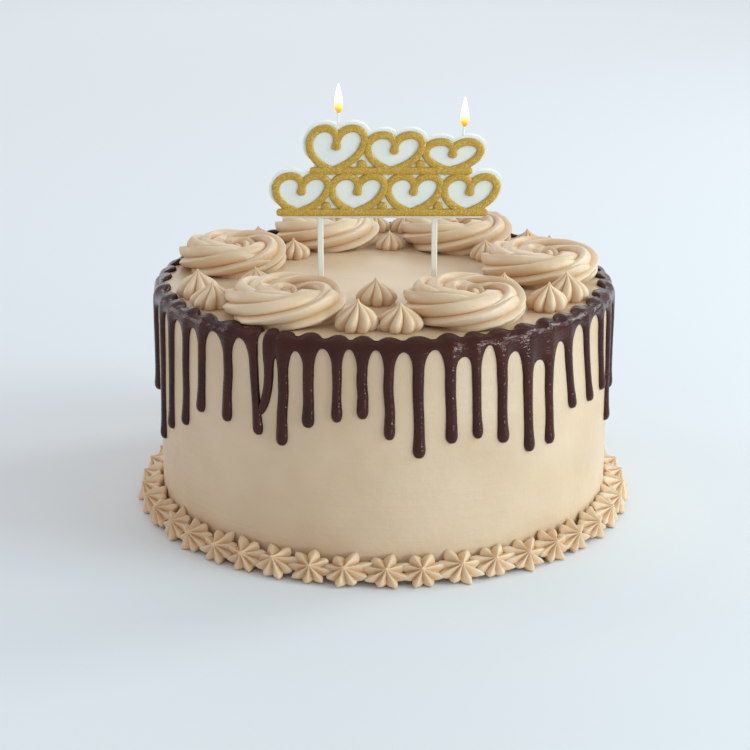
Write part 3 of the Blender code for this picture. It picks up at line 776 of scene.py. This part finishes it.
def borderStar(angle, seed):
    rng = random.Random(seed)
    size = border["radius"] * rng.uniform(0.97, 1.04)
    lobes = border["lobes"]
    count = lobes * border["pointsPerLobe"]
    spin = rng.uniform(0, math.tau)
    nub = Vector((rng.uniform(-1, 1), rng.uniform(-1, 1), 0)) * border["nub"]
    stretch = [rng.uniform(*border["petals"]) for lobe in range(lobes)]
    place = (
        Matrix.Rotation(math.radians(angle), 4, "Z")
        @ Matrix.Translation((0, -cake["radius"] - border["reachOut"], border["lift"]))
        @ Matrix.Rotation(math.radians(border["tilt"] + rng.uniform(-5, 5)), 4, "X")
        @ Matrix.Diagonal(border["stretch"])
        @ Matrix.Rotation(spin, 4, "Z")
    )
    rings = []
    for share, high, cut, drop in border["profile"]:
        ring = []
        for i in range(count):
            a = math.tau * i / count
            lobe = 1 - abs(math.asin(math.sin(a * lobes / 2))) / (math.pi / 2)  # a roof-shaped petal
            valley = 1 - lobe ** 0.8
            petal = stretch[round(a / math.tau * lobes) % lobes]
            reach = size * share * (1 - cut * valley) * (1 + (petal - 1) * lobe * share)
            reach *= 1 + 0.12 * math.sin(a + spin) - 0.02
            point = Vector((reach * math.cos(a), reach * math.sin(a), (high - drop * valley) * mm))
            point = place @ (point + nub * max(0, high) / 5)
            point.z = max(point.z, 0.2 * mm + 0.02 * (high + 5) * mm)  # pressed flat where it stands
            # 1 - lobe: the deeper in a crease, the more painted crease shade
            ring.append((point, 1 - lobe))
        rings.append(ring)
    return loftRings(rings, place @ (nub + Vector((0, 0, border["tipHeight"]))))


def starBorder():
    rng = random.Random(5)
    bm = bmesh.new()
    for i in range(border["count"]):
        joinInto(bm, borderStar(360 * (i + rng.uniform(-0.05, 0.05)) / border["count"], 60 + i))
    finishPiece("piped_star_border", bm, pipedCream, ["star_border"])


starBorder()
print("star border made")


# the candle

candle = {
    "y": -40 * mm,
    "thickness": 5 * mm,
    "foot": 154.9 * mm,
    "strokeWidth": 3.6 * mm,
    "relief": 1.1 * mm,
    "margin": 1.4 * mm,
    "slant": 0.16,
    "bead": 2.3 * mm,
    "gap": 0.9 * mm,  # between one heart and the next, each side
    "lobe": 0.32,  # a heart's round top over its height
    "belly": 0.95,
    "bellyRise": 0.24,
    "sink": 0.3 * mm,  # of the gold into the wax
    "lineRise": 0.30 * mm,  # of the ground lines over the hearts
    "goldStep": 0.05 * mm,  # strips that cross stand a step apart
    "waxStep": 0.06 * mm,  # and so do lobes of wax
    "barInset": 10 * mm,
    "barThin": 0.9,
    "barRise": 0.55,
    "barEdge": 1.5 * mm,
    "softEdge": 0.5 * mm,
    # left end, right end, foot above the candle's foot, height at the left and at the right, hearts
    "lower": (-54.5 * mm, 52.5 * mm, 0.0, 24.2 * mm, 23.6 * mm, 4),
    "upper": (-38.5 * mm, 45.0 * mm, 20.2 * mm, 28.3 * mm, 18.6 * mm, 3),
}
candle["inset"] = candle["margin"] + candle["strokeWidth"] / 2


def tierHearts(tier):  # middle, foot, top and half width of each heart, along the gold's centre line
    left, right, foot, highLeft, highRight, count = candle[tier]
    inset = candle["inset"]
    rows = []
    for i in range(count):
        t = (i + 0.5) / count
        high = highLeft + (highRight - highLeft) * t
        half = (right - left) / count / 2 - candle["gap"]
        rows.append((left + (right - left) * t, foot + inset, foot + high - inset, half))
    return rows


def slanted(x, z, foot):
    return Vector((x + candle["slant"] * (z - foot), z))


def heartLobe(heart, side):  # centre, half width and half height of a half heart's round top
    x, foot, top, wide = heart
    high = (top - foot) * candle["lobe"]
    return slanted(x + side * wide / 2, top - high, foot), wide / 2, high


def heartPath(heart, side):  # from the foot out and up, over the round top, and curled in at the middle
    x, foot, top, wide = heart
    middle, across, high = heartLobe(heart, side)
    points = []
    for step in range(9):
        t = step / 10
        out = 2 * t * (1 - t) * wide * candle["belly"] + t * t * wide
        rise = 2 * t * (1 - t) * (top - foot) * candle["bellyRise"] + t * t * (middle.y - foot)
        points.append(slanted(x + side * out, foot + rise, foot))
    for step in range(26):
        a = math.radians(-4 + 8.2 * step)
        z = middle.y + high * math.sin(a)
        points.append(slanted(middle.x + side * across * math.cos(a), z, middle.y))
    return points


def strokeRelief(points, width, front, relief):  # a raised strip along points of the candle's face
    half = width / 2
    across = (
        (-half, 0), (-half, 0.55), (-half * 0.86, 0.86), (-half * 0.6, 1.0), (half * 0.6, 1.0),
        (half * 0.86, 0.86), (half, 0.55), (half, 0),
    )
    ends = []
    count = len(points)
    for i, point in enumerate(points):
        along = (points[min(count - 1, i + 1)] - points[max(0, i - 1)]).normalized()
        side = Vector((-along.y, along.x))
        ends.append((point, side, 1.0))
    for extra, scale in ((0.55, 0.86), (0.9, 0.5)):  # rounded ends
        first = (points[0] - (points[1] - points[0]).normalized() * half * extra, ends[0][1], scale)
        final = (points[-1] + (points[-1] - points[-2]).normalized() * half * extra, ends[-1][1], scale)
        ends = [first] + ends + [final]
    rings = []
    for point, side, scale in ends:
        ring = []
        for offset, high in across:
            spot = point + side * offset * scale
            ring.append((Vector((spot.x, front - relief * high, candle["foot"] + spot.y)), 0.0))
        rings.append(ring)
    tip = sum((point for point, _ in rings[-1]), Vector()) / len(across)
    return loftRings(rings, tip)


def goldBead(x, z, front):
    bead, relief = candle["bead"], candle["relief"]
    rings = []
    for share, high in ((1, 0), (1, 0.5), (0.9, 0.8), (0.6, 1.0)):
        ring = []
        for step in range(20):
            a = math.tau * step / 20
            across, up = bead * share * math.cos(a), bead * share * math.sin(a)
            ring.append((Vector((x + across, front - relief * high, z + up)), 0.0))
        rings.append(ring)
    return loftRings(rings, Vector((x, front - relief * 1.05, z)))


def goldScrolls():
    whole = bmesh.new()
    front = candle["y"] - candle["thickness"] / 2 + candle["sink"]
    width, relief = candle["strokeWidth"], candle["relief"]
    for tier in ("lower", "upper"):
        hearts = tierHearts(tier)
        ground = hearts[0][1]
        start, end = hearts[0][0] - hearts[0][3] * 0.7, hearts[-1][0] + hearts[-1][3] * 0.7
        line = [Vector((start + (end - start) * i / 12, ground)) for i in range(13)]
        joinInto(whole, strokeRelief(line, width, front, relief + candle["lineRise"]))
        for i, heart in enumerate(hearts):
            for side in (-1, 1):
                raised = relief + candle["goldStep"] * (2.5 + side / 2 + 2 * (i % 2))
                joinInto(whole, strokeRelief(heartPath(heart, side), width, front, raised))
        for first, second in zip(hearts, hearts[1:]):
            z = candle["foot"] + (ground + candle["bead"] + 0.6 * mm)
            joinInto(whole, goldBead((first[0] + second[0]) / 2, z, front))
    finishPiece("gold_scrollwork", whole, gold, ["candle_gold"], 60)


def waxBacking():
    lobes = []
    inset = candle["inset"]
    for level, tier in enumerate(("lower", "upper")):
        left, right, foot = candle[tier][:3]
        hearts = tierHearts(tier)
        for i, heart in enumerate(hearts):
            for side in (-1, 1):
                middle, across, high = heartLobe(heart, side)
                thick = candle["thickness"] - candle["waxStep"] * (2 * (i % 2) + (side + 1) / 2 + 4 * level)
                bm = bmesh.new()
                bmesh.ops.create_cone(bm, cap_ends=True, segments=48, radius1=1, radius2=1, depth=thick)
                bmesh.ops.scale(bm, vec=(across + inset, high + inset, 1), verts=bm.verts)
                for vert in bm.verts:
                    vert.co.x += candle["slant"] * vert.co.y
                spot = Matrix.Translation((middle.x, candle["y"], candle["foot"] + middle.y))
                spot = spot @ Matrix.Rotation(math.pi / 2, 4, "X")
                bmesh.ops.transform(bm, matrix=spot, verts=bm.verts)
                lobes.append(bm)
        bm = bmesh.new()
        bmesh.ops.create_cube(bm, size=1)
        barTop = foot + (hearts[0][2] - foot) * candle["barRise"]
        size = (right - left - candle["barInset"], candle["thickness"] * candle["barThin"], barTop - foot)
        spot = ((left + right) / 2, candle["y"], candle["foot"] + (foot + barTop) / 2)
        bmesh.ops.scale(bm, vec=size, verts=bm.verts)
        bmesh.ops.translate(bm, vec=spot, verts=bm.verts)
        bmesh.ops.bevel(
            bm, geom=list(bm.edges), offset=candle["barEdge"], segments=3, profile=0.5,
            affect="EDGES", material=-1,
        )
        lobes.append(bm)
    objects = []
    group = bpy.data.collections.new("waxLobes")
    bpy.context.scene.collection.children.link(group)
    for i, bm in enumerate(lobes):
        bmesh.ops.recalc_face_normals(bm, faces=bm.faces)
        mesh = bpy.data.meshes.new("waxLobe")
        bm.to_mesh(mesh)
        bm.free()
        obj = bpy.data.objects.new("waxLobe", mesh)
        (bpy.context.scene.collection if i == 0 else group).objects.link(obj)
        objects.append(obj)
    join = objects[0].modifiers.new("join", "BOOLEAN")
    join.operand_type = "COLLECTION"
    join.collection = group
    join.operation = "UNION"
    join.solver = "EXACT"
    graph = bpy.context.evaluated_depsgraph_get()
    fused = bpy.data.meshes.new_from_object(objects[0].evaluated_get(graph))
    for obj in objects:
        bpy.data.objects.remove(obj)
    bpy.data.collections.remove(group)
    bm = bmesh.new()
    bm.from_mesh(fused)
    bpy.data.meshes.remove(fused)
    piece = finishPiece("wax_backing", bm, wax, ["candle_wax"], 40)
    bevel = piece.modifiers.new("softEdge", "BEVEL")
    bevel.width = candle["softEdge"]
    bevel.segments = 3
    bevel.limit_method = "ANGLE"
    bevel.angle_limit = math.radians(50)


flames = {
    # wick foot x, wick foot z, wick lean, flame foot z
    "left": (-21.8 * mm, 196.0 * mm, 0.3 * mm, 205.5 * mm),
    "right": (37.2 * mm, 192.0 * mm, 0.8 * mm, 199.0 * mm),
    "height": 14.0 * mm,
    "radius": 1.95 * mm,
    "wickRadius": 0.55 * mm,
    "wickEnd": 2.5 * mm,  # above the foot of the flame
    "wickTip": 2.9 * mm,
    # share of the radius, share of the height
    "profile": (
        (0.30, 0.0), (0.72, 0.07), (0.95, 0.18), (1.0, 0.30), (0.94, 0.45), (0.78, 0.6),
        (0.55, 0.75), (0.30, 0.88), (0.12, 0.96),
    ),
    "colours": (
        (0.0, (0.42, 0.13, 0.01)), (0.15, (0.85, 0.33, 0.02)),
        (0.30, (1.0, 0.68, 0.18)), (0.44, (1.0, 0.96, 0.84)),
    ),
    "strength": 1.1,
}


def flameMaterial(side):
    foot = flames[side][3]
    material, nodes, links, shader = newMaterial("flame_" + side)
    coords = nodes.new("ShaderNodeTexCoord")
    split = nodes.new("ShaderNodeSeparateXYZ")
    links.new(coords.outputs["Object"], split.inputs[0])
    rise = nodes.new("ShaderNodeMapRange")
    rise.inputs["From Min"].default_value = foot
    rise.inputs["From Max"].default_value = foot + flames["height"]
    links.new(split.outputs["Z"], rise.inputs["Value"])
    colour = colourRamp(nodes, links, rise.outputs["Result"], flames["colours"])
    links.new(colour, shader.inputs["Emission Color"])
    links.new(colour, shader.inputs["Base Color"])
    shader.inputs["Emission Strength"].default_value = flames["strength"]
    shader.inputs["Roughness"].default_value = 0.9
    return material


def levelRing(centre, radius, count):
    ring = []
    for i in range(count):
        a = math.tau * i / count
        ring.append((centre + Vector((math.cos(a), math.sin(a), 0)) * radius, 0.0))
    return ring


def flameAndWick(side):
    x, z, lean, foot = flames[side]
    y = candle["y"]
    tipX = x + lean
    rings = []
    for step in range(9):
        t = step / 8
        centre = Vector((x + lean * t ** 1.4, y, z + (foot + flames["wickEnd"] - z) * t))
        rings.append(levelRing(centre, flames["wickRadius"] * (1 - 0.2 * t), 12))
    wick = loftRings(rings, Vector((tipX, y, foot + flames["wickTip"])))
    finishPiece("burning_wick_" + side, wick, plastic, ["wick_" + side])
    rings = []
    for share, high in flames["profile"]:
        centre = Vector((tipX, y, foot + flames["height"] * high))
        rings.append(levelRing(centre, flames["radius"] * share, 20))
    flame = loftRings(rings, Vector((tipX, y, foot + flames["height"])))
    finishPiece("flame_" + side, flame, flameMaterial(side))


waxBacking()
goldScrolls()
for side in ("left", "right"):
    flameAndWick(side)
for node in ("stick_left", "stick_right"):
    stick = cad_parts[node]
    stick.data.materials.clear()
    stick.data.materials.append(plastic)
print("candle made")


# floor, light and camera

stage = {
    "floorSize": 6,
    "floorColour": (0.80, 0.82, 0.85, 1),
    "skyColour": (0.94, 0.98, 1.0, 1),
    "skyStrength": 0.65,
    # place, target, size, power, colour
    "softboxes": {
        "right": ((1.68, -0.45, 1.0), (0, 0, 0.06), (0.8, 0.9), 16, (0.72, 0.93, 1.0)),
        "backRight": ((1.6, 0.75, 1.0), (0, 0, 0.06), (0.5, 0.6), 9, (0.90, 0.98, 1.0)),
        "back": ((0, 2.6, 1.1), (0, 0, 0.1), (2.4, 0.9), 9, (0.93, 0.98, 1.0)),
        "low": ((1.45, -1.20, 0.17), (0, 0, 0.06), (0.36, 0.24), 8, (0.84, 0.97, 1.0)),
        "backLeft": ((-1.88, 0.68, 0.7), (0, 0, 0.06), (0.7, 1.0), 5.5, (0.94, 0.97, 1.0)),
    },
    "cameraPlace": (-0.00437, -0.8658, 0.3506),
    "lookDown": 0.3218,
    "halfFrame": 375,  # pixels
    "focalLength": 1761,  # pixels
}


def addFloor():
    bm = bmesh.new()
    bmesh.ops.create_grid(bm, x_segments=1, y_segments=1, size=stage["floorSize"])
    mesh = bpy.data.meshes.new("floor")
    bm.to_mesh(mesh)
    bm.free()
    material, _, _, shader = newMaterial("paleFloor")
    shader.inputs["Base Color"].default_value = stage["floorColour"]
    shader.inputs["Roughness"].default_value = 0.7
    mesh.materials.append(material)
    floor = bpy.data.objects.new("floor", mesh)
    bpy.context.scene.collection.objects.link(floor)


def addSoftbox(name, place, target, size, power, colour):
    light = bpy.data.lights.new(name, "AREA")
    light.shape = "RECTANGLE"
    light.size, light.size_y = size
    light.energy = power
    light.color = colour
    lamp = bpy.data.objects.new(name, light)
    lamp.location = place
    lamp.rotation_euler = (Vector(target) - Vector(place)).to_track_quat("-Z", "Y").to_euler()
    bpy.context.scene.collection.objects.link(lamp)


def addWorld():
    world = bpy.data.worlds.new("studio")
    world.use_nodes = True
    sky = world.node_tree.nodes["Background"]
    sky.inputs["Color"].default_value = stage["skyColour"]
    sky.inputs["Strength"].default_value = stage["skyStrength"]
    bpy.context.scene.world = world


def addCamera():
    lens = bpy.data.cameras.new("camera")
    lens.sensor_fit = "HORIZONTAL"
    lens.angle = 2 * math.atan(stage["halfFrame"] / stage["focalLength"])
    lens.clip_start = 0.05
    camera = bpy.data.objects.new("camera", lens)
    camera.location = stage["cameraPlace"]
    camera.rotation_euler = (math.pi / 2 - stage["lookDown"], 0, 0)
    bpy.context.scene.collection.objects.link(camera)
    bpy.context.scene.camera = camera


addFloor()
addWorld()
for name, values in stage["softboxes"].items():
    addSoftbox(name, *values)
addCamera()
bpy.context.scene.view_settings.view_transform = "Standard"
print("stage set")
